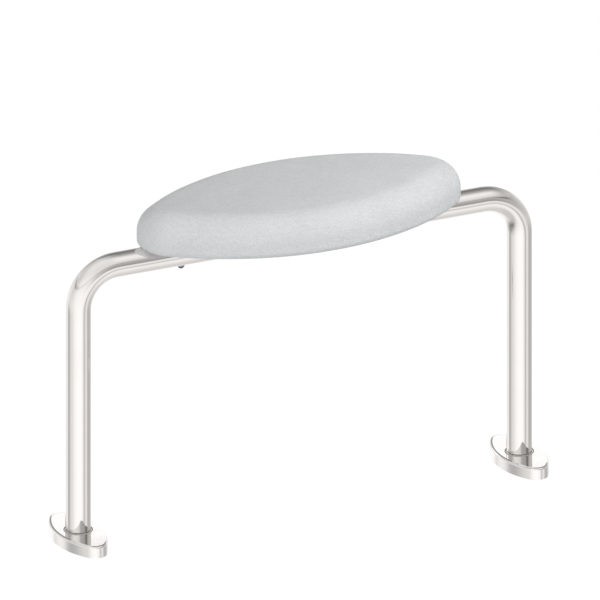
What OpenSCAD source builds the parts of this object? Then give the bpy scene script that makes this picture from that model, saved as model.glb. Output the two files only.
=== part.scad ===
// Shower stool: a bent steel tube on two lens-shaped feet carries a lens-shaped pad.
// Origin on the floor, midway between the two posts. +X runs along the top rail, +Z is up.

/* [Frame] */
// Distance between the centre lines of the two posts
post_spacing = 640; // [560:1:800]
// Height of the top rail's centre line above the floor
rail_height = 382; // [320:1:480]
// Outside diameter of the tube
tube_d = 33.7; // [30:0.1:36]
// Wall thickness of the tube
tube_wall = 2; // [1.5:0.1:3]
// Bend radius at the tube's centre line
bend_r = 54; // [45:1:80]

/* [Feet] */
// Unit of the cover's lens outline: a tip centre lies 28 units from the post
cover_unit = 1.78; // [1.76:0.01:2.1]
// Radius of the rounded tips of a foot cover
cover_tip_r = 16.7; // [16.5:0.1:20]
// Height of the cover's top face above the floor
cover_top = 17; // [16:0.5:24]
// Radius of the cover's rounded top edge
cover_edge_r = 3; // [2:0.5:4]
// How far the sloping rim of the cover's top reaches in past its rounded edge
cover_bevel = 0.4; // [0.3:0.1:1]
// Sheet thickness of the cover
cover_t = 1.5; // [1:0.1:1.8]
// Gap between the bottom edge of the cover and the floor
cover_gap = 0.6; // [0.4:0.1:1.2]
// Thickness of the rubber gasket under the foot plate
gasket_t = 1.5; // [1:0.1:2]
// Thickness of the foot plate
plate_t = 6; // [5:0.5:7]
// Outside diameter of the socket that holds the post
socket_d = 36.8; // [36.6:0.1:38]
// Distance between the floor screws along the bench
screw_dx = 20; // [18:1:22]
// Distance between the floor screws across the bench
screw_dy = 76; // [74:1:80]
// Diameter of the floor screw holes
screw_hole_d = 6.6; // [5.5:0.1:7]
// Diameter of the countersink at the top of a floor screw hole
screw_sink_d = 12.4; // [11:0.1:13]

/* [Seat] */
// Unit of the pad's lens outline: a tip centre lies 140 units from the pad's middle
pad_unit = 1.28; // [1.22:0.01:1.4]
// Radius of the pad's rounded ends
pad_tip_r = 50.6; // [48:0.1:60]
// Thickness of the pad
pad_t = 54; // [52:0.5:60]
// Radius of the pad's top edge
pad_top_r = 35; // [20:0.5:36]
// Radius of the pad's bottom edge
pad_bottom_r = 8.6; // [5:0.1:10]
// Depth to which the tube sinks into the pad's underside
pad_sink = 3.35; // [2.5:0.05:3.6]
// Distance from the pad's outline to the edge of the carrier plate inside it
carrier_inset = 28; // [20:1:30]
// Thickness of the carrier plate
carrier_t = 6; // [5:0.5:8]

/* [Fixings] */
// Distance between the two seat bolts
bolt_spacing = 342; // [330:1:350]
// Diameter of the seat bolts
bolt_d = 5; // [4:1:6]
// Diameter of a bolt head
head_d = 8.5; // [8:0.1:11]
// Height of a bolt head
head_h = 3; // [2.7:0.1:3.6]
// Outside diameter of the sleeves that stop the tube from being crushed
sleeve_d = 10; // [9:0.1:11]
// Diameter of the saddle washers
washer_d = 10; // [9:0.1:15]

/* [Hidden] */
$fn = 160;

tube_r = tube_d / 2;
half_span = post_spacing / 2;
rail_half = half_span - bend_r;
bend_z = rail_height - bend_r;
plate_z = gasket_t;
post_foot_z = gasket_t + plate_t;
socket_r = socket_d / 2;
rail_top = rail_height + tube_r;
rail_bottom = rail_height - tube_r;

// Gaps between pieces that touch in real life
fit_gap = 0.05;
slide_gap = 0.3;

// The ring stands a little proud of the cover, round the socket
ring_in_r = socket_r + slide_gap;
ring_out_r = socket_r + 0.95;
ring_top = cover_top + 0.7;
ring_h = 3.2;
cover_hole_r = ring_out_r + fit_gap;

pad_z = rail_top - pad_sink;
pad_top = pad_z + pad_t;
saddle_half = 12;
saddle_z = pad_z + 0.5;
carrier_z = rail_top + 2.2;
insert_r = 5;
insert_flange_r = 8;
insert_flange_t = 1.5;
bolt_x = bolt_spacing / 2;
bolt_clear = bolt_d / 2 + 0.3;
washer_z = rail_bottom - 1.2;
bolt_tip = carrier_z + carrier_t + 1.2;

steel = [0.86, 0.85, 0.83];
dark_steel = [0.36, 0.37, 0.38];
rubber = [0.13, 0.13, 0.13];
foam = [0.78, 0.79, 0.80];

// ---- lens outlines: two long arcs joined by rounded tips, long axis along Y ----
// A shape is [p, q, m], a right triangle in whole numbers with p * p + q * q = m * m. With unit u,
// the tip centres lie at y = +-p * u, the arc centres at x = +-q * u, and m * u lies between them,
// so every arc meets its tip in a smooth line. Half the length is p * u + r and half the width is
// (m - q) * u + r, where r is the tip radius. A smaller r insets the whole outline evenly.
cover_shape = [28, 45, 53];
pad_shape = [140, 171, 221];

function half_len(s, u, r) = s[0] * u + r;
function half_w(s, u, r) = (s[2] - s[1]) * u + r;

// The part of the plane that belongs to the arc on the +x side
module arc_side(s, u) {
    h = s[0] * u;
    polygon([
        [0, h], [s[1] * u, h + s[0] * u],
        [s[1] * u, -h - s[0] * u], [0, -h]
    ]);
}

// The part of the plane that belongs to the tip on the +y side
module tip_side(s, u) {
    h = s[0] * u;
    polygon([[0, h], [s[1] * u, h + s[0] * u], [-s[1] * u, h + s[0] * u]]);
}

module lens_outline(s, u, r) {
    union() {
        for (k = [0, 1]) mirror([k, 0]) intersection() {
            translate([-s[1] * u, 0]) circle(r = s[2] * u + r);
            arc_side(s, u);
        }
        for (k = [0, 1]) mirror([0, k]) intersection() {
            translate([0, s[0] * u]) circle(r = r);
            tip_side(s, u);
        }
    }
}

// The rounded top corner of a rim section
module rim_corner(rad, height, ft) {
    intersection() {
        translate([rad - ft, height - ft]) circle(r = ft);
        translate([rad - ft, height - ft]) square([ft, ft]);
    }
}

// The wedge taken off a rim's top so that it slopes down by twelve degrees from x = start
module rim_slope(start, height, reach) {
    polygon([[start, height], [start + reach, height - reach * 0.2126],
        [start + reach, height + 1], [start, height + 1]]);
}

// Section of a disc whose rim has a rounded top edge ft and a rounded bottom edge fb
module rim_section(rad, height, ft, fb, bevel) {
    union() {
        if (bevel > 0) {
            difference() {
                union() {
                    square([rad - ft, height]);
                    rim_corner(rad, height, ft);
                }
                rim_slope(rad - ft - bevel, height, ft + bevel + 1);
            }
        } else {
            square([rad - ft, height]);
            rim_corner(rad, height, ft);
        }
        translate([rad - ft, fb]) square([ft, height - ft - fb]);
        if (fb > 0) {
            translate([rad - ft, 0]) square([ft - fb, fb]);
            intersection() {
                translate([rad - fb, fb]) circle(r = fb);
                translate([rad - fb, 0]) square([fb, fb]);
            }
        }
    }
}

// Solid lens with rounded edges, each part turned about its own arc's centre
module lens_solid(s, u, r, height, ft, fb, bevel = 0) {
    union() {
        for (k = [0, 1]) mirror([k, 0, 0]) intersection() {
            translate([-s[1] * u, 0, 0]) rotate_extrude() rim_section(s[2] * u + r, height, ft, fb, bevel);
            translate([0, 0, -1]) linear_extrude(height + 2) arc_side(s, u);
        }
        for (k = [0, 1]) mirror([0, k, 0]) intersection() {
            translate([0, s[0] * u, 0]) rotate_extrude() rim_section(r, height, ft, fb, bevel);
            translate([0, 0, -1]) linear_extrude(height + 2) tip_side(s, u);
        }
    }
}

// Straight cylinder along X through a given height, for grooves that fit the rail
module rail_cutter(r, half_len) {
    translate([-half_len, 0, rail_height]) rotate([0, 90, 0]) cylinder(r = r, h = 2 * half_len);
}

module at_feet(side) {
    translate([side * half_span, 0, 0]) children();
}

module at_bolts() {
    for (s = [-1, 1]) translate([s * bolt_x, 0, 0]) children();
}

// ---- frame ----
module tube_run(r, foot_z) {
    union() {
        for (s = [-1, 1])
            translate([s * half_span, 0, foot_z]) cylinder(r = r, h = bend_z - foot_z);
        translate([rail_half, 0, bend_z]) rotate([90, 0, 0])
            rotate_extrude(angle = 90) translate([bend_r, 0]) circle(r = r);
        mirror([1, 0, 0]) translate([rail_half, 0, bend_z]) rotate([90, 0, 0])
            rotate_extrude(angle = 90) translate([bend_r, 0]) circle(r = r);
        rail_cutter(r, rail_half);
    }
}

module frame_tube() {
    color(steel) difference() {
        tube_run(tube_r, post_foot_z);
        tube_run(tube_r - tube_wall, post_foot_z - 1);
        at_bolts() {
            translate([0, 0, rail_height - tube_d]) cylinder(r = bolt_clear, h = tube_d);
            translate([0, 0, rail_height]) cylinder(r = sleeve_d / 2 + 0.2, h = tube_d);
        }
    }
}

// ---- feet ----
module foot_plate(side) {
    color(steel) at_feet(side) difference() {
        union() {
            translate([0, 0, plate_z]) linear_extrude(plate_t)
                lens_outline(cover_shape, cover_unit, cover_tip_r - 3.5);
            translate([0, 0, plate_z]) cylinder(r = socket_r, h = cover_top - 0.4 - plate_z);
            translate([0, 0, cover_top - 0.4]) cylinder(r1 = socket_r, r2 = socket_r - 0.4, h = 0.4);
        }
        translate([0, 0, post_foot_z]) cylinder(r = tube_r + fit_gap, h = 40);
        for (x = [-1, 1], y = [-1, 1]) translate([x * screw_dx / 2, y * screw_dy / 2, 0]) {
            translate([0, 0, plate_z - 1]) cylinder(r = screw_hole_d / 2, h = plate_t + 2);
            translate([0, 0, plate_z + plate_t - (screw_sink_d - screw_hole_d) / 2])
                cylinder(r1 = screw_hole_d / 2, r2 = screw_sink_d / 2 + 0.5, h = (screw_sink_d - screw_hole_d) / 2 + 0.5);
        }
    }
}

module floor_gasket(side) {
    color(rubber) at_feet(side) difference() {
        linear_extrude(gasket_t) lens_outline(cover_shape, cover_unit, cover_tip_r - 5);
        for (x = [-1, 1], y = [-1, 1]) translate([x * screw_dx / 2, y * screw_dy / 2, -1])
            cylinder(r = screw_hole_d / 2, h = gasket_t + 2);
    }
}

module cover(side) {
    color(steel) at_feet(side) difference() {
        translate([0, 0, cover_gap])
            lens_solid(cover_shape, cover_unit, cover_tip_r, cover_top - cover_gap, cover_edge_r, 0, cover_bevel);
        translate([0, 0, cover_gap - 2])
            lens_solid(cover_shape, cover_unit, cover_tip_r - cover_t,
                cover_top - cover_gap + 2 - cover_t, cover_edge_r - cover_t, 0);
        translate([0, 0, cover_top / 2]) cylinder(r = cover_hole_r, h = cover_top);
    }
}

module seal_ring(side) {
    lip = (ring_out_r - ring_in_r) / 2;
    color(rubber) at_feet(side) rotate_extrude() union() {
        translate([ring_in_r, ring_top - ring_h]) square([2 * lip, ring_h - lip]);
        intersection() {
            translate([ring_in_r + lip, ring_top - lip]) circle(r = lip);
            translate([ring_in_r, ring_top - lip]) square([2 * lip, lip]);
        }
    }
}

// ---- seat ----
module stadium(half_len, r) {
    union() {
        translate([-half_len, -r]) square([2 * half_len, 2 * r]);
        for (k = [0, 1]) mirror([k, 0])
            intersection() {
                translate([half_len, 0]) circle(r = r);
                translate([half_len, -r]) square([r, 2 * r]);
            }
    }
}

module carrier_outline(grow) {
    rotate([0, 0, 90]) lens_outline(pad_shape, pad_unit, pad_tip_r - carrier_inset + grow);
}

module seat_pad() {
    color(foam) difference() {
        translate([0, 0, pad_z]) rotate([0, 0, 90])
            lens_solid(pad_shape, pad_unit, pad_tip_r, pad_t, pad_top_r, pad_bottom_r);
        rail_cutter(tube_r + 0.15, half_len(pad_shape, pad_unit, pad_tip_r) + 10);
        translate([0, 0, carrier_z]) linear_extrude(carrier_t) carrier_outline(fit_gap);
        at_bolts() {
            translate([0, 0, pad_z - 1]) linear_extrude(carrier_z - pad_z + 1.5) stadium(10, saddle_half + fit_gap);
            translate([0, 0, carrier_z + carrier_t - 0.5]) cylinder(r = insert_flange_r + fit_gap, h = insert_flange_t + 0.7);
        }
    }
}

module seat_plate() {
    color([0.80, 0.81, 0.82]) difference() {
        translate([0, 0, carrier_z]) linear_extrude(carrier_t) carrier_outline(0);
        at_bolts() translate([0, 0, carrier_z - 1]) cylinder(r = insert_r + fit_gap, h = carrier_t + 2);
    }
}

module threaded_inserts() {
    color([0.72, 0.62, 0.38]) at_bolts() difference() {
        union() {
            translate([0, 0, carrier_z]) cylinder(r = insert_r, h = carrier_t + 0.2);
            translate([0, 0, carrier_z + carrier_t]) cylinder(r = insert_flange_r, h = insert_flange_t);
        }
        translate([0, 0, carrier_z - 1]) cylinder(r = bolt_d / 2 + fit_gap, h = carrier_t + 4);
    }
}

module seat_saddles() {
    color(rubber) at_bolts() difference() {
        translate([0, 0, saddle_z]) linear_extrude(carrier_z - saddle_z) stadium(10, saddle_half);
        rail_cutter(tube_r + fit_gap, 40);
        translate([0, 0, saddle_z - 1]) cylinder(r = bolt_clear, h = 20);
    }
}

// ---- fixings ----
module spacer_sleeves() {
    wall_in = tube_r - tube_wall;
    low = rail_height - sqrt(pow(wall_in, 2) - pow(sleeve_d / 2, 2)) + 0.1;
    high = rail_height + sqrt(pow(tube_r, 2) - pow(sleeve_d / 2, 2)) - 0.1;
    color(dark_steel) at_bolts() difference() {
        translate([0, 0, low]) cylinder(r = sleeve_d / 2, h = high - low);
        translate([0, 0, low - 1]) cylinder(r = bolt_clear, h = 60);
    }
}

module seat_bolts() {
    crown_z = head_h * 1.3;
    crown_r = head_d * 0.539;
    color(dark_steel) at_bolts() difference() {
        union() {
            intersection() {
                translate([0, 0, washer_z - head_h]) cylinder(r = head_d / 2, h = head_h);
                translate([0, 0, washer_z - head_h + crown_z]) sphere(r = crown_r);
            }
            translate([0, 0, washer_z - 0.5]) cylinder(r = bolt_d / 2, h = bolt_tip - washer_z + 0.5);
        }
        translate([0, 0, washer_z - head_h - 1]) cylinder(r = head_d * 0.22, h = 3, $fn = 6);
    }
}

module bolt_washers() {
    color(steel) at_bolts() difference() {
        translate([0, 0, washer_z]) cylinder(r = washer_d / 2, h = 5);
        rail_cutter(tube_r + fit_gap, 40);
        translate([0, 0, washer_z - 1]) cylinder(r = bolt_clear, h = 10);
    }
}

frame_tube();
foot_plate(-1);  // left_foot_plate
foot_plate(1);  // right_foot_plate
floor_gasket(-1);  // left_floor_gasket
floor_gasket(1);  // right_floor_gasket
cover(-1);  // left_cover
cover(1);  // right_cover
seal_ring(-1);  // left_seal_ring
seal_ring(1);  // right_seal_ring
seat_pad();
seat_plate();
threaded_inserts();
seat_saddles();
spacer_sleeves();
seat_bolts();
bolt_washers();
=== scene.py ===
import math

import bmesh
import bpy
from mathutils import Matrix, Vector, noise


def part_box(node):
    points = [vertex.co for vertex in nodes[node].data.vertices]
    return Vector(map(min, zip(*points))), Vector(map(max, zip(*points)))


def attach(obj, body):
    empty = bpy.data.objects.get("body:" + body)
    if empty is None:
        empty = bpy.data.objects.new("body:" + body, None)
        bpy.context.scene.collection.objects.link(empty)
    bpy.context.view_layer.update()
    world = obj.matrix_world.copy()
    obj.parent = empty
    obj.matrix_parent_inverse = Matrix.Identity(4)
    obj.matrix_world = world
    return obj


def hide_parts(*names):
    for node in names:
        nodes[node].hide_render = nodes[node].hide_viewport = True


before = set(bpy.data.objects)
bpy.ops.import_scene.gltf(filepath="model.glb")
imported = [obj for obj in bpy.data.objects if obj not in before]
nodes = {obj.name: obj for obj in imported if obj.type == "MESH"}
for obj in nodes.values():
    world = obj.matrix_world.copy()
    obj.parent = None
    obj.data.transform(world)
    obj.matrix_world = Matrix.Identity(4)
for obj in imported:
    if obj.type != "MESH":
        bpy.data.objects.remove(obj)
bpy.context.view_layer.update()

MM = 0.001
scene = bpy.context.scene

# ---------------------------------------------------------------- camera
# A parallel view from the front left, 22 degrees above the floor.
AZIMUTH, ELEVATION = math.radians(-25.4), math.radians(22.0)
PX = 0.763 / MM  # picture points per metre, in a picture 600 points wide
back = Vector((
    math.sin(AZIMUTH) * math.cos(ELEVATION),
    -math.cos(AZIMUTH) * math.cos(ELEVATION),
    math.sin(ELEVATION),
))
right = Vector((math.cos(AZIMUTH), math.sin(AZIMUTH), 0.0))
up = back.cross(right)
cam_data = bpy.data.cameras.new("camera")
cam_data.type = "ORTHO"
cam_data.ortho_scale = 600 / PX
cam = bpy.data.objects.new("camera", cam_data)
cam.rotation_mode = "QUATERNION"
cam.rotation_quaternion = (-back).to_track_quat("-Z", "Y")
cam.location = right * 0.00167 + up * 0.2650 + back * 3.0
cam_data.clip_start, cam_data.clip_end = 0.05, 60.0
scene.collection.objects.link(cam)
scene.camera = cam

scene.view_settings.view_transform = "Standard"
scene.view_settings.look = "None"
scene.view_settings.exposure = 0.0
scene.view_settings.gamma = 1.0


# ---------------------------------------------------------------- node helpers
def put(nt, kind, **settings):
    n = nt.nodes.new(kind)
    for key, value in settings.items():
        setattr(n, key, value)
    return n


def feed(nt, socket, value):
    """Links value into the socket if it is a socket, or sets it as the socket's own value."""
    if isinstance(value, bpy.types.NodeSocket):
        nt.links.new(value, socket)
    else:
        socket.default_value = value


def math_node(nt, op, a, b=None, c=None, clamp=False):
    n = put(nt, "ShaderNodeMath", operation=op, use_clamp=clamp)
    for i, value in enumerate((a, b, c)):
        if value is not None:
            feed(nt, n.inputs[i], value)
    return n.outputs[0]


def ramp(nt, fac, stops, interpolation="LINEAR"):
    """A colour ramp. Each stop is (position, value or colour)."""
    n = put(nt, "ShaderNodeValToRGB")
    cr = n.color_ramp
    cr.interpolation = interpolation
    while len(cr.elements) > 1:
        cr.elements.remove(cr.elements[-1])
    for i, (pos, val) in enumerate(stops):
        e = cr.elements[0] if i == 0 else cr.elements.new(pos)
        e.position = pos
        e.color = (*val, 1.0) if isinstance(val, tuple) else (val, val, val, 1.0)
    feed(nt, n.inputs[0], fac)
    return n.outputs[0]


def mix_value(nt, fac, a, b):
    n = put(nt, "ShaderNodeMix", data_type="FLOAT")
    feed(nt, n.inputs[0], fac)
    feed(nt, n.inputs[2], a)
    feed(nt, n.inputs[3], b)
    return n.outputs[0]


def mix_colour(nt, fac, a, b, blend="MIX"):
    n = put(nt, "ShaderNodeMix", data_type="RGBA", blend_type=blend)
    feed(nt, n.inputs[0], fac)
    feed(nt, n.inputs[6], a)
    feed(nt, n.inputs[7], b)
    return n.outputs[2]


# ---------------------------------------------------------------- studio surroundings
# The surroundings are a plain studio seen only in reflections and as soft light: a pale sweep
# below the horizon with a few grey gaps, grey walls, and a wide soft box overhead.
def studio():
    world = bpy.data.worlds.new("studio")
    scene.world = world
    world.use_nodes = True
    nt = world.node_tree
    nt.nodes.clear()
    coord = put(nt, "ShaderNodeTexCoord").outputs["Generated"]
    sep = put(nt, "ShaderNodeSeparateXYZ")
    nt.links.new(coord, sep.inputs[0])
    z = sep.outputs[2]

    def along(v):
        d = put(nt, "ShaderNodeVectorMath", operation="DOT_PRODUCT")
        nt.links.new(coord, d.inputs[0])
        d.inputs[1].default_value = v
        return d.outputs["Value"]

    ahead = Vector((back.x, back.y, 0.0)).normalized()
    turn = math_node(nt, "ARCTAN2", along(right), along(ahead))
    turn01 = math_node(nt, "MULTIPLY_ADD", turn, 1 / (2 * math.pi), 0.5)
    lift = math_node(nt, "ARCSINE", z)
    lift01 = math_node(nt, "MULTIPLY_ADD", lift, 1 / math.pi, 0.5)

    def deg(pairs, span=360.0):
        return [(a / span + 0.5, v) for a, v in pairs]

    level = None
    for i, (height, row) in enumerate(BACKDROP):
        here = ramp(nt, turn01, deg(row))
        if level is None:
            level = here
        else:
            below = BACKDROP[i - 1][0]
            step = put(nt, "ShaderNodeMapRange", interpolation_type="LINEAR", clamp=True)
            nt.links.new(lift01, step.inputs["Value"])
            step.inputs["From Min"].default_value = below / 180.0 + 0.5
            step.inputs["From Max"].default_value = height / 180.0 + 0.5
            level = mix_value(nt, step.outputs[0], level, here)
    tinted = mix_colour(nt, 1.0, level, (1.0, 0.995, 0.985, 1.0), "MULTIPLY")

    path = put(nt, "ShaderNodeLightPath")
    seen = put(nt, "ShaderNodeBackground")
    seen.inputs[0].default_value = (1.0, 1.0, 1.0, 1.0)
    seen.inputs[1].default_value = 1.0
    lit = put(nt, "ShaderNodeBackground")
    nt.links.new(tinted, lit.inputs[0])
    lit.inputs[1].default_value = 1.0
    # a little weaker as soft light than in reflections, where the lamps make up the rest
    feed(nt, lit.inputs[1], math_node(nt, "MULTIPLY_ADD", path.outputs["Is Diffuse Ray"], SOFT - 1.0, 1.0))
    both = put(nt, "ShaderNodeMixShader")
    nt.links.new(path.outputs["Is Camera Ray"], both.inputs[0])
    nt.links.new(lit.outputs[0], both.inputs[1])
    nt.links.new(seen.outputs[0], both.inputs[2])
    out = put(nt, "ShaderNodeOutputWorld")
    nt.links.new(both.outputs[0], out.inputs[0])


SOFT = 0.83
# Brightness of the surroundings by height above the horizon, and at each height by direction: 0 is
# towards the camera's side, 90 to its right, 180 behind the object.
BACKDROP = [
    (-88, [(-180, 0.66), (0, 0.62), (180, 0.66)]),
    (-66, [(-180, 0.84), (-140, 0.98), (-100, 0.86), (-60, 0.66), (-20, 0.62), (30, 0.62), (75, 0.72),
           (110, 0.69), (150, 0.62), (180, 0.84)]),
    (-50, [(-180, 0.96), (-145, 1.02), (-125, 0.86), (-105, 0.50), (-88, 0.26), (-55, 0.18), (-35, 0.26),
           (-10, 0.56), (15, 0.60), (35, 0.70), (50, 0.87), (75, 0.83), (110, 0.71), (150, 0.72), (180, 0.96)]),
    (-36, [(-180, 0.95), (-145, 1.00), (-130, 0.78), (-110, 0.48), (-90, 0.34), (-70, 0.40), (-50, 0.60),
           (-30, 0.84), (-10, 0.93), (12, 0.92), (30, 0.94), (50, 0.97), (70, 0.90), (90, 0.70), (110, 0.61),
           (130, 0.65), (150, 0.76), (180, 0.95)]),
    (-24, []), (-20, []),
    (-10, [(-180, 0.84), (-150, 0.88), (-130, 0.95), (-110, 0.86), (-90, 0.68), (-72, 0.82), (-50, 0.87),
           (-30, 1.00), (0, 1.03), (30, 0.97), (50, 0.93), (70, 0.86), (90, 0.66), (110, 0.63), (130, 0.66),
           (155, 0.78), (180, 0.84)]),
    (-6, [(-180, 0.80), (-150, 0.80), (-130, 0.93), (-110, 0.88), (-90, 0.72), (-72, 0.82), (-50, 0.88),
          (-30, 1.00), (0, 1.03), (25, 0.94), (50, 0.78), (70, 0.74), (90, 0.60), (110, 0.60), (130, 0.64),
          (155, 0.84), (180, 0.80)]),
    (0, [(-180, 0.66), (-150, 0.70), (-130, 0.90), (-110, 0.86), (-90, 0.73), (-70, 0.80), (-50, 0.88),
         (-30, 1.00), (5, 1.00), (20, 0.86), (32, 0.58), (44, 0.34), (55, 0.32), (70, 0.46), (90, 0.54),
         (110, 0.59), (130, 0.63), (150, 0.83), (165, 0.78), (180, 0.66)]),
    (12, [(-180, 0.56), (-150, 0.62), (-130, 0.82), (-110, 0.79), (-90, 0.69), (-70, 0.76), (-50, 0.91),
          (-30, 0.97), (-10, 0.96), (10, 0.88), (28, 0.56), (42, 0.36), (56, 0.40), (70, 0.46), (90, 0.46),
          (110, 0.56), (130, 0.62), (150, 0.76), (168, 0.60), (180, 0.56)]),
    (17, [(-180, 0.34), (-164, 0.37), (-150, 0.57), (-130, 0.78), (-110, 0.74), (-90, 0.66), (-70, 0.75), (-50, 0.90),
          (-30, 0.96), (-10, 0.93), (10, 0.85), (30, 0.64), (50, 0.52), (70, 0.48), (90, 0.44), (110, 0.54),
          (130, 0.62), (150, 0.58), (180, 0.34)]),
    (21, []), (23, []),
    (27, [(-180, 0.28), (-164, 0.32), (-150, 0.54), (-130, 0.75), (-110, 0.71), (-90, 0.64), (-70, 0.75), (-50, 0.90),
          (-30, 0.95), (-10, 0.92), (10, 0.83), (30, 0.70), (50, 0.60), (70, 0.52), (90, 0.44), (110, 0.55),
          (130, 0.64), (150, 0.50), (180, 0.28)]),
    (31, [(-180, 0.24), (-164, 0.28), (-150, 0.53), (-130, 0.69), (-110, 0.68), (-90, 0.64), (-70, 0.74),
          (-50, 0.88), (-30, 0.93), (-10, 0.90), (10, 0.81), (30, 0.71), (50, 0.66), (70, 0.62), (90, 0.52),
          (110, 0.54), (130, 0.57), (150, 0.44), (166, 0.26), (180, 0.24)]),
    (38, [(-180, 0.18), (-164, 0.24), (-150, 0.52), (-130, 0.62), (-110, 0.63), (-90, 0.63), (-70, 0.72), (-50, 0.84),
          (-30, 0.88), (-10, 0.85), (10, 0.77), (30, 0.72), (50, 0.78), (70, 0.80), (90, 0.60), (110, 0.52),
          (130, 0.48), (150, 0.32), (166, 0.20), (180, 0.18)]),
    (47, [(-180, 0.20), (-164, 0.30), (-150, 0.56), (-110, 0.66), (-90, 0.69), (-60, 0.80), (-20, 0.83),
          (10, 0.76), (40, 0.77), (66, 0.86), (84, 0.80), (100, 0.72), (118, 0.56), (138, 0.40), (158, 0.24),
          (180, 0.20)]),
    (55, [(-180, 0.33), (-150, 0.62), (-120, 0.68), (-90, 0.75), (-60, 0.82), (-20, 0.81), (10, 0.75),
          (40, 0.79), (62, 0.92), (84, 0.96), (100, 0.82), (118, 0.62), (138, 0.42), (160, 0.29), (180, 0.33)]),
    (67, [(-180, 0.52), (-150, 0.68), (-110, 0.78), (-60, 0.83), (0, 0.80), (50, 0.80), (85, 0.86),
          (105, 0.74), (130, 0.50), (155, 0.38), (180, 0.52)]),
    (88, [(-180, 0.76), (0, 0.84), (120, 0.75), (180, 0.76)]),
]
# The sweep as the upright tubes see it, between 24 and 20 degrees below the horizon
SWEEP = [
    (-180, 1.00), (-146, 1.03), (-140, 0.92), (-134, 0.72), (-127, 0.88), (-118, 0.95), (-109, 0.86),
    (-101, 0.52), (-95, 0.44), (-87, 0.47), (-79, 0.62), (-73, 0.70), (-66, 0.78), (-57, 0.77),
    (-46, 0.86), (-36, 0.94), (-20, 1.02), (0, 1.07), (22, 1.06), (34, 1.00), (45, 0.92), (51, 0.64),
    (56, 0.48), (60, 0.60), (67, 0.74), (75, 0.86), (83, 0.78), (92, 0.54), (105, 0.47), (130, 0.50),
    (150, 0.70), (180, 1.00),
]
# The wall as the foot covers and the posts show it to one another, 22 degrees above the horizon
WALL = [
    (-180, 0.28), (-162, 0.32), (-150, 0.46), (-130, 0.60), (-110, 0.50), (-90, 0.38), (-70, 0.46), (-50, 0.70),
    (-30, 0.80), (-10, 0.75), (8, 0.70), (22, 0.42), (46, 0.38), (60, 0.36), (69, 0.20), (77, 0.13),
    (85, 0.20), (94, 0.38), (110, 0.50), (130, 0.55), (150, 0.50), (180, 0.28),
]
BACKDROP = [(height, row or (SWEEP if height < 0 else WALL)) for height, row in BACKDROP]
studio()


def grid_object(name, verts, faces):
    mesh = bpy.data.meshes.new(name)
    mesh.from_pydata([tuple(v) for v in verts], [], faces)
    mesh.update()
    o = bpy.data.objects.new(name, mesh)
    scene.collection.objects.link(o)
    return o


def emitter(name, colour, strength):
    m = bpy.data.materials.new(name)
    m.use_nodes = True
    nt = m.node_tree
    nt.nodes.clear()
    e = put(nt, "ShaderNodeEmission")
    e.inputs[0].default_value = (*colour, 1.0)
    e.inputs[1].default_value = strength
    out = put(nt, "ShaderNodeOutputMaterial")
    nt.links.new(e.outputs[0], out.inputs[0])
    return m


# The floor: pale and mostly lit from within, so that only a breath of shadow shows on it. From
# below it lets the eye through.
FLOOR_SOFT = 0.48


def make_floor():
    s = 9.0
    o = grid_object("floor", [(-s, -s, 0), (s, -s, 0), (s, s, 0), (-s, s, 0)], [(0, 1, 2, 3)])
    m = bpy.data.materials.new("pale_floor")
    m.use_nodes = True
    nt = m.node_tree
    nt.nodes.clear()
    glow = put(nt, "ShaderNodeEmission")
    glow.inputs[0].default_value = (1.0, 1.0, 1.0, 1.0)
    path = put(nt, "ShaderNodeLightPath")
    feed(nt, glow.inputs[1], mix_value(nt, path.outputs["Is Camera Ray"], FLOOR_SOFT, 0.97))
    matt = put(nt, "ShaderNodeBsdfDiffuse")
    matt.inputs[0].default_value = (0.09, 0.09, 0.09, 1.0)
    add = put(nt, "ShaderNodeAddShader")
    nt.links.new(glow.outputs[0], add.inputs[0])
    nt.links.new(matt.outputs[0], add.inputs[1])
    clear = put(nt, "ShaderNodeBsdfTransparent")
    geo = put(nt, "ShaderNodeNewGeometry")
    side = put(nt, "ShaderNodeMixShader")
    nt.links.new(geo.outputs["Backfacing"], side.inputs[0])
    nt.links.new(add.outputs[0], side.inputs[1])
    nt.links.new(clear.outputs[0], side.inputs[2])
    out = put(nt, "ShaderNodeOutputMaterial")
    nt.links.new(side.outputs[0], out.inputs[0])
    o.data.materials.append(m)
    o.visible_glossy = False


make_floor()


# White cards low behind the object, one for each foot, seen only in the mirror-like tops of the covers.
def make_card(name, corners, strength):
    o = grid_object(name, corners, [(0, 1, 2, 3)])
    o.data.materials.append(emitter(name, (1.0, 0.997, 0.992), strength))
    o.visible_camera = False
    o.visible_diffuse = False
    o.visible_shadow = False
    o.visible_transmission = False


for name, x0, x1 in (("card_left", -0.12, 0.25), ("card_right", 0.525, 0.95)):
    make_card(name, [(x0, 0.6, 0.10), (x1, 0.6, 0.10), (x1, 0.6, 0.327), (x0, 0.6, 0.327)], 1.04)


def area_light(name, place, aim, size, power, colour=(1, 1, 1), glossy=True):
    data = bpy.data.lights.new(name, "AREA")
    data.shape = "RECTANGLE"
    data.size, data.size_y = size
    data.energy = power
    data.color = colour
    o = bpy.data.objects.new(name, data)
    o.location = place
    o.rotation_mode = "QUATERNION"
    o.rotation_quaternion = (Vector(aim) - Vector(place)).to_track_quat("-Z", "Y")
    o.visible_camera = False
    o.visible_glossy = glossy
    scene.collection.objects.link(o)
    return o


area_light("key", (0.443, -0.528, 0.998), (0.0, 0.0, 0.42), (0.5, 0.5), 3.06, glossy=False)
area_light("fill_left", (-0.66, -0.61, 0.42), (0.0, 0.0, 0.42), (0.4, 0.4), 1.28, glossy=False)
area_light("fill_right", (0.74, 0.05, 0.94), (0.0, 0.0, 0.42), (0.5, 0.5), 0.34, glossy=False)


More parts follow.
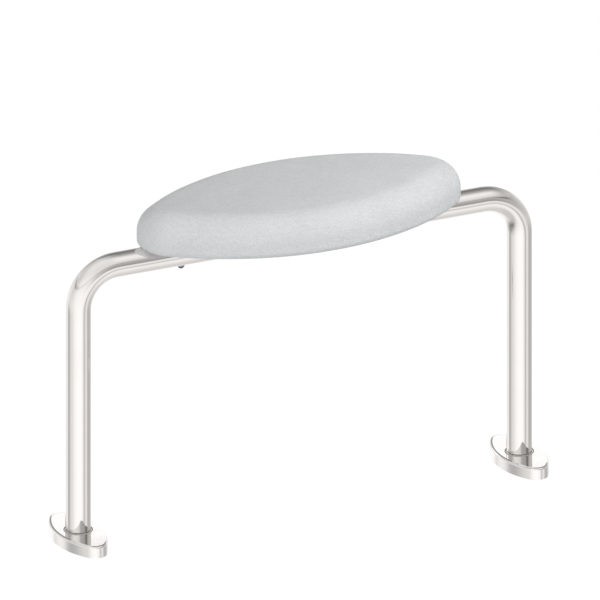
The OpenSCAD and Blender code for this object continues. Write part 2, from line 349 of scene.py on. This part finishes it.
# ---------------------------------------------------------------- materials
def new_material(name):
    m = bpy.data.materials.new(name)
    m.use_nodes = True
    nt = m.node_tree
    b = nt.nodes["Principled BSDF"]
    return m, nt, b


def object_coords(nt, scale=(1.0, 1.0, 1.0), turn=(0.0, 0.0, 0.0)):
    tc = put(nt, "ShaderNodeTexCoord")
    mp = put(nt, "ShaderNodeMapping")
    mp.inputs["Scale"].default_value = scale
    mp.inputs["Rotation"].default_value = turn
    nt.links.new(tc.outputs["Object"], mp.inputs["Vector"])
    return mp.outputs[0]


def noise_tex(nt, vector, scale, detail=3.0, rough=0.5, distortion=0.0):
    n = put(nt, "ShaderNodeTexNoise")
    nt.links.new(vector, n.inputs["Vector"])
    n.inputs["Scale"].default_value = scale
    n.inputs["Detail"].default_value = detail
    n.inputs["Roughness"].default_value = rough
    n.inputs["Distortion"].default_value = distortion
    return n.outputs["Fac"]


def bump(nt, height, strength, distance, normal=None):
    n = put(nt, "ShaderNodeBump")
    n.inputs["Strength"].default_value = strength
    n.inputs["Distance"].default_value = distance
    nt.links.new(height, n.inputs["Height"])
    if normal is not None:
        nt.links.new(normal, n.inputs["Normal"])
    return n.outputs[0]


def metal(name, colour, worn, rough, spread, grain=None, grain_depth=0.000004, smudge=14.0,
          side_rough=0.0):
    """Metal with polishing marks, faint smudges and slightly uneven roughness; upright faces are
    duller than level ones by side_rough."""
    m, nt, b = new_material(name)
    b.inputs["Metallic"].default_value = 1.0
    xyz = object_coords(nt)
    cloud = noise_tex(nt, xyz, smudge, 5.0, 0.55, 0.6)
    patch = ramp(nt, cloud, [(0.34, 0.0), (0.66, 1.0)])
    fine = noise_tex(nt, xyz, 650.0, 3.0, 0.6)
    lines = noise_tex(nt, object_coords(nt, grain or (900.0, 900.0, 60.0)), 1.0, 4.0, 0.65)
    feed(nt, b.inputs["Base Color"], mix_colour(nt, patch, (*colour, 1.0), (*worn, 1.0)))
    level = math_node(nt, "MULTIPLY_ADD", patch, spread, rough)
    level = math_node(nt, "MULTIPLY_ADD", math_node(nt, "SUBTRACT", fine, 0.5), spread * 0.8, level)
    level = math_node(nt, "MULTIPLY_ADD", math_node(nt, "SUBTRACT", lines, 0.5), spread * 1.4, level, clamp=True)
    if side_rough:
        facing = put(nt, "ShaderNodeSeparateXYZ")
        nt.links.new(put(nt, "ShaderNodeNewGeometry").outputs["True Normal"], facing.inputs[0])
        upright = math_node(nt, "SUBTRACT", 1.0, math_node(nt, "ABSOLUTE", facing.outputs[2]), clamp=True)
        level = math_node(nt, "MULTIPLY_ADD", upright, side_rough, level, clamp=True)
    feed(nt, b.inputs["Roughness"], level)
    n1 = bump(nt, lines, 0.35, grain_depth)
    n2 = bump(nt, cloud, 0.35, grain_depth * 6, n1)
    nt.links.new(n2, b.inputs["Normal"])
    return m


def rubber(name, colour, rough=0.55):
    m, nt, b = new_material(name)
    xyz = object_coords(nt)
    grit = noise_tex(nt, xyz, 1600.0, 3.0, 0.6)
    dust = ramp(nt, noise_tex(nt, xyz, 60.0, 4.0, 0.6), [(0.42, 0.0), (0.72, 1.0)])
    pale = tuple(min(1.0, c * 1.7 + 0.01) for c in colour)
    feed(nt, b.inputs["Base Color"], mix_colour(nt, math_node(nt, "MULTIPLY", dust, 0.6), (*colour, 1.0), (*pale, 1.0)))
    feed(nt, b.inputs["Roughness"], math_node(nt, "MULTIPLY_ADD", grit, 0.22, rough - 0.1))
    nt.links.new(bump(nt, grit, 0.4, 0.00006), b.inputs["Normal"])
    return m


def skin(name):
    """Moulded polyurethane foam skin: satin, pale grey, with short fine crease marks and pores; the colour carries
    painted shade, darker in the low parts of the crease marks and the grain.
    """
    m, nt, b = new_material(name)
    streak = noise_tex(nt, object_coords(nt, (150.0, 420.0, 420.0), (0.0, 0.0, 0.25)), 1.0, 3.0, 0.55, 1.1)
    crease_shade_mask = ramp(nt, streak, [(0.30, 0.0), (0.50, 0.62), (0.70, 1.0)])
    xyz = object_coords(nt)
    pebble = put(nt, "ShaderNodeTexVoronoi")
    pebble.feature = "SMOOTH_F1"
    pebble.inputs["Scale"].default_value = 560.0
    nt.links.new(xyz, pebble.inputs["Vector"])
    pores = ramp(nt, pebble.outputs["Distance"], [(0.0, 0.0), (0.35, 0.75), (0.9, 1.0)])
    grain = noise_tex(nt, xyz, 520.0, 3.0, 0.7)
    cloud = noise_tex(nt, xyz, 22.0, 4.0, 0.55, 0.4)
    blotch = ramp(nt, cloud, [(0.30, 0.0), (0.70, 1.0)])
    base = mix_colour(nt, blotch, SKIN_A, SKIN_B)
    # painted shade: the colour is darkened where the crease streaks and the grain are low, following their bumps
    shade = math_node(nt, "MULTIPLY_ADD", crease_shade_mask, 0.075, 0.945)
    shade = math_node(nt, "MULTIPLY_ADD", grain, 0.42, math_node(nt, "SUBTRACT", shade, 0.21))
    relief_shade_colour = put(nt, "ShaderNodeCombineColor")
    for i in range(3):
        nt.links.new(shade, relief_shade_colour.inputs[i])
    feed(nt, b.inputs["Base Color"], mix_colour(nt, 1.0, base, relief_shade_colour.outputs[0], "MULTIPLY"))
    level = math_node(nt, "MULTIPLY_ADD", blotch, 0.05, 0.40)
    level = math_node(nt, "MULTIPLY_ADD", pores, 0.06, level)
    feed(nt, b.inputs["Roughness"], level)
    n1 = bump(nt, streak, 0.75, 0.0011)
    n2 = bump(nt, grain, 0.60, 0.0011, bump(nt, pores, 0.45, 0.0003, n1))
    n3 = bump(nt, cloud, 0.30, 0.0015, n2)
    nt.links.new(n3, b.inputs["Normal"])
    b.inputs["Specular IOR Level"].default_value = 0.5
    return m


SKIN_A = (0.735, 0.755, 0.770, 1.0)
SKIN_B = (0.775, 0.793, 0.806, 1.0)

polished = metal("polished_steel", (0.958, 0.932, 0.912), (0.938, 0.912, 0.892), 0.045, 0.035)
cover_polish = metal("cover_steel", (0.975, 0.955, 0.940), (0.955, 0.935, 0.920), 0.050, 0.040,
                     grain=(700.0, 90.0, 700.0), side_rough=0.10)
brushed = metal("brushed_foot_steel", (0.88, 0.87, 0.855), (0.80, 0.79, 0.78), 0.14, 0.10,
                grain=(1200.0, 45.0, 1200.0), grain_depth=0.00002, smudge=30.0)
cast = metal("carrier_aluminium", (0.80, 0.81, 0.82), (0.70, 0.71, 0.72), 0.34, 0.14,
             grain=(40.0, 1100.0, 1100.0), grain_depth=0.00002, smudge=20.0)
brass = metal("insert_brass", (0.78, 0.62, 0.34), (0.66, 0.50, 0.26), 0.22, 0.12,
              grain=(900.0, 900.0, 2600.0), grain_depth=0.00001, smudge=120.0)
turned = metal("sleeve_steel", (0.55, 0.55, 0.54), (0.45, 0.45, 0.45), 0.24, 0.10,
               grain=(60.0, 60.0, 3000.0), grain_depth=0.00001, smudge=150.0)
bolt = metal("bolt_steel", (0.115, 0.125, 0.145), (0.085, 0.09, 0.105), 0.30, 0.12,
             grain=(300.0, 300.0, 2600.0), grain_depth=0.00001, smudge=200.0)
washer = metal("washer_steel", (0.30, 0.315, 0.345), (0.25, 0.26, 0.285), 0.16, 0.08,
               grain=(1400.0, 1400.0, 1400.0), smudge=150.0)
black = rubber("black_rubber", (0.028, 0.028, 0.030))
ring_black = rubber("ring_rubber", (0.40, 0.385, 0.375), 0.5)
skin_material = skin("pad_skin")

WEARS = {
    "frame_tube": polished,
    "left_cover": cover_polish, "right_cover": cover_polish,
    "left_foot_plate": brushed, "right_foot_plate": brushed,
    "left_floor_gasket": black, "right_floor_gasket": black,
    "left_seal_ring": ring_black, "right_seal_ring": ring_black,
    "seat_plate": cast, "threaded_inserts": brass, "seat_saddles": black,
    "spacer_sleeves": turned, "seat_bolts": bolt, "bolt_washers": washer,
}
for node, material in WEARS.items():
    slots = nodes[node].data.materials
    if not len(slots):
        slots.append(material)
    for i in range(len(slots)):
        slots[i] = material


# ---------------------------------------------------------------- the pad
# The outline is two long arcs joined by round tips, long axis along X, as in the CAD: tip centres
# at +-TIP_X, arc centres at -+ARC_Y, arc radius ARC_R, tip radius TIP_R.
TIP_X, ARC_Y, ARC_R, TIP_R = 179.2, 218.88, 333.48, 50.6
JOIN = math.atan2(140.0, 171.0)  # where an arc hands over to a tip, from the short axis
pad_lo, pad_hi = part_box("seat_pad")
PAD_Z, PAD_TOP = pad_lo.z / MM, pad_hi.z / MM
TOP_R, BOTTOM_R, CROWN = 35.0, 8.6, 1.6


def outline(steps_arc, steps_tip):
    """Points (x, y) and outward normals round the pad, symmetric about both axes."""
    pts = []
    for k in range(steps_arc):  # the +y arc, from +x to -x
        t = JOIN - 2 * JOIN * k / steps_arc
        pts.append((ARC_R * math.sin(t), -ARC_Y + ARC_R * math.cos(t), math.sin(t), math.cos(t)))
    for k in range(steps_tip):  # the -x tip
        t = -JOIN - (math.pi - 2 * JOIN) * k / steps_tip
        pts.append((-TIP_X + TIP_R * math.sin(t), TIP_R * math.cos(t), math.sin(t), math.cos(t)))
    return pts + [(-x, -y, -nx, -ny) for x, y, nx, ny in pts]


def smooth(t):
    t = max(0.0, min(1.0, t))
    return t * t * (3 - 2 * t)


def make_pad():
    rim = outline(150, 58)
    n = len(rim)
    rings = []  # each ring is n points
    # the underside, from its middle line out to the bottom edge
    under = [0.0, 0.04, 0.12, 0.25, 0.4, 0.55, 0.7, 0.85, 0.94]
    for s in under:
        ring = []
        for x, y, nx, ny in rim:
            ex, ey = x - BOTTOM_R * nx, y - BOTTOM_R * ny
            cx = ex * TIP_X / (TIP_X + TIP_R - BOTTOM_R)
            ring.append((cx + (ex - cx) * s, ey * s, PAD_Z))
        rings.append(ring)
    # the profile from the bottom edge, up the side and over the big top radius
    profile = []
    for k in range(9):
        t = math.pi / 2 * k / 8
        profile.append((BOTTOM_R * (1 - math.sin(t)), PAD_Z + BOTTOM_R * (1 - math.cos(t))))
    wall_lo, wall_hi = PAD_Z + BOTTOM_R, PAD_TOP - TOP_R
    for k in range(1, 5):
        profile.append((0.0, wall_lo + (wall_hi - wall_lo) * k / 5))
    for k in range(23):
        t = math.pi / 2 * k / 22
        profile.append((TOP_R * (1 - math.cos(t)), wall_hi + TOP_R * math.sin(t)))
    for inset, z in profile:
        rings.append([(x - inset * nx, y - inset * ny, z) for x, y, nx, ny in rim])
    # the top, from the inner end of the big radius to the middle line
    over = [0.94, 0.88, 0.8, 0.72, 0.64, 0.56, 0.48, 0.4, 0.32, 0.24, 0.16, 0.08, 0.03, 0.0]
    for s in over:
        ring = []
        for x, y, nx, ny in rim:
            ex, ey = x - TOP_R * nx, y - TOP_R * ny
            cx = ex * TIP_X / (TIP_X + TIP_R - TOP_R)
            ring.append((cx + (ex - cx) * s, ey * s, PAD_TOP))
        rings.append(ring)

    bm = bmesh.new()
    vs = [[bm.verts.new(Vector(p) * MM) for p in ring] for ring in rings]
    for a, b in zip(vs, vs[1:]):
        for i in range(n):
            j = (i + 1) % n
            bm.faces.new((a[i], a[j], b[j], b[i]))
    bmesh.ops.remove_doubles(bm, verts=bm.verts, dist=0.00002)
    bmesh.ops.dissolve_degenerate(bm, edges=bm.edges, dist=0.00001)
    bmesh.ops.recalc_face_normals(bm, faces=bm.faces)

    # a low crown, and the slight unevenness of foam that has set against its own skin
    for v in bm.verts:
        x, y, z = v.co / MM
        rise = smooth((z - (PAD_Z + 12.0)) / 42.0)
        w = (TIP_X + TIP_R) ** 2
        half = -ARC_Y + math.sqrt(max(0.0, ARC_R ** 2 - x * x)) if abs(x) < TIP_X else TIP_R
        across = max(0.0, 1.0 - (y / max(half, 30.0)) ** 2)
        lengthwise = max(0.0, 1.0 - x * x / w)
        v.co.z += rise * CROWN * MM * smooth(across * 1.15) * smooth(lengthwise * 1.6)
        sway = noise.noise(v.co * 11.0) * 0.22 + noise.noise(v.co * 31.0 + Vector((3.1, 1.7, 0.4))) * 0.10
        side = smooth((z - (PAD_Z + 6.0)) / 10.0)
        v.co += v.normal * (sway - 0.1) * MM * side
    bm.normal_update()

    mesh = bpy.data.meshes.new("seat_cushion")
    bm.to_mesh(mesh)
    bm.free()
    pad = bpy.data.objects.new("seat_cushion", mesh)
    scene.collection.objects.link(pad)
    return pad


def prism(name, pts, z0, z1):
    """A closed upright prism over an outline, in millimetres."""
    n = len(pts)
    verts = [(x * MM, y * MM, z0 * MM) for x, y in pts] + [(x * MM, y * MM, z1 * MM) for x, y in pts]
    faces = [tuple(reversed(range(n))), tuple(range(n, 2 * n))]
    faces += [(i, (i + 1) % n, n + (i + 1) % n, n + i) for i in range(n)]
    o = grid_object(name, verts, faces)
    bm = bmesh.new()
    bm.from_mesh(o.data)
    bmesh.ops.recalc_face_normals(bm, faces=bm.faces)
    bm.to_mesh(o.data)
    bm.free()
    return o


def cut(target, tool):
    mod = target.modifiers.new("cut", "BOOLEAN")
    mod.operation = "DIFFERENCE"
    mod.solver = "EXACT"
    mod.object = tool
    dg = bpy.context.evaluated_depsgraph_get()
    mesh = bpy.data.meshes.new_from_object(target.evaluated_get(dg))
    target.modifiers.clear()
    old = target.data
    target.data = mesh
    bpy.data.meshes.remove(old)
    bpy.data.objects.remove(tool)


pad = make_pad()

# The tube beds into a groove along the underside, and the carrier plate, its saddles and its
# inserts sit in the foam in pockets their own size.
tube_lo, tube_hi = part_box("frame_tube")
RAIL_Z, TUBE_R = tube_hi.z / MM - 16.85, 16.85
groove_pts = [(17.0 * math.cos(2 * math.pi * (k + 0.5) / 96), 17.0 * math.sin(2 * math.pi * (k + 0.5) / 96)) for k in range(96)]
rod = prism("groove", groove_pts, -260.0, 260.0)
rod.data.transform(Matrix.Translation((0.0, 0.0, RAIL_Z * MM)) @ Matrix.Rotation(math.pi / 2, 4, "Y"))
cut(pad, rod)
plate_lo, plate_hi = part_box("seat_plate")
inner = [(x - (28.0 - 0.3) * nx, y - (28.0 - 0.3) * ny) for x, y, nx, ny in outline(60, 20)]
cut(pad, prism("plate_room", inner, plate_lo.z / MM - 0.05, plate_hi.z / MM + 0.05))
saddle_lo, saddle_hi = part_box("seat_saddles")
insert_lo, insert_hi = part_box("threaded_inserts")
BOLT_X = 171.0
for side in (-1, 1):
    pts = []
    for k in range(25):
        t = -math.pi / 2 + math.pi * k / 24
        pts.append((10.0 + 12.2 * math.cos(t), 12.2 * math.sin(t)))
    pts += [(-x, -y) for x, y in pts]
    pts = [(x + side * BOLT_X, y) for x, y in pts]
    cut(pad, prism("saddle_room", pts, PAD_Z - 3.0, saddle_hi.z / MM + 0.5))
    pts = [(side * BOLT_X + 8.3 * math.cos(2 * math.pi * k / 40), 8.3 * math.sin(2 * math.pi * k / 40)) for k in range(40)]
    cut(pad, prism("insert_room", pts, plate_hi.z / MM - 0.5, insert_hi.z / MM + 0.3))

for p in pad.data.polygons:
    p.use_smooth = True
pad.data.set_sharp_from_angle(angle=math.radians(32))
pad.data.materials.clear()
pad.data.materials.append(skin_material)
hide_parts("seat_pad")
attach(pad, "frame")
